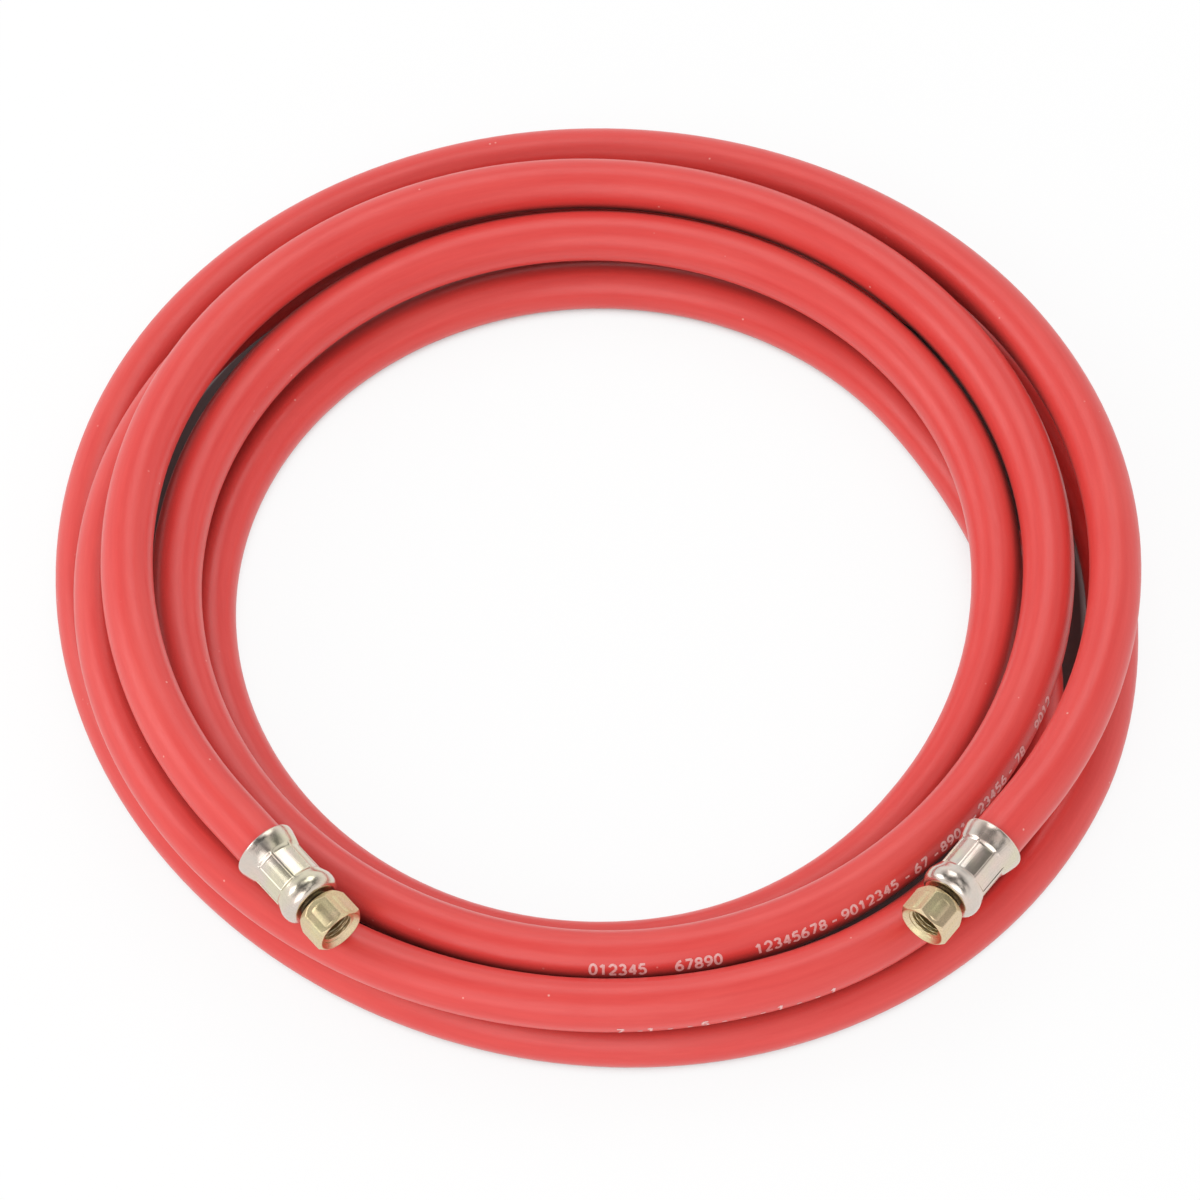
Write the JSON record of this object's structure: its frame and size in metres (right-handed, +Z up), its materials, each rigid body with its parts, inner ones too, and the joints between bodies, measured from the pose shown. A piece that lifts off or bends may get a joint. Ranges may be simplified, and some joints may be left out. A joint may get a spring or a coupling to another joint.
{
  "type": "coiled air hose",
  "caption": "Rubber-covered air hose wound into a flat coil, with a crimped ferrule and a free-turning female swivel nut on each end.",
  "frame": {"origin": "middle of the coil's box, on the surface that it lies on", "axes": "+Z up along the coil's axis; both nuts point towards -Y, the right one on +X and the left one on -X"},
  "size_m": [0.3913, 0.3908, 0.0633],
  "materials": {
    "cover_rubber": "satin red rubber with a fine lengthwise sheen",
    "braid_yarn": "white textile yarn",
    "liner_rubber": "matte black rubber",
    "zinc_steel": "bright zinc plate with a warm tint, pressed",
    "insert_steel": "turned zinc plate",
    "yellow_zinc_steel": "yellow passivated zinc plate"
  },
  "bodies": {
    "hose": {"hose_cover": "cover_rubber", "hose_braid": "braid_yarn", "hose_liner": "liner_rubber", "ferrule_right": "zinc_steel", "insert_right": "insert_steel", "ferrule_left": "zinc_steel", "insert_left": "insert_steel"},
    "nut_right": {"swivel_nut_right": "yellow_zinc_steel"},
    "nut_left": {"swivel_nut_left": "yellow_zinc_steel"}
  },
  "joints": [
    {"name": "nut_swivel_right", "type": "hinge", "parent": "hose", "child": "nut_right", "pos_m": [0.11537, -0.15982, 0.04995], "axis": [-0.6088, -0.7933, 0], "continuous": true},
    {"name": "nut_swivel_left", "type": "hinge", "parent": "hose", "child": "nut_left", "pos_m": [-0.09123, -0.16269, 0.0518], "axis": [0.6428, -0.766, 0], "continuous": true}
  ]
}
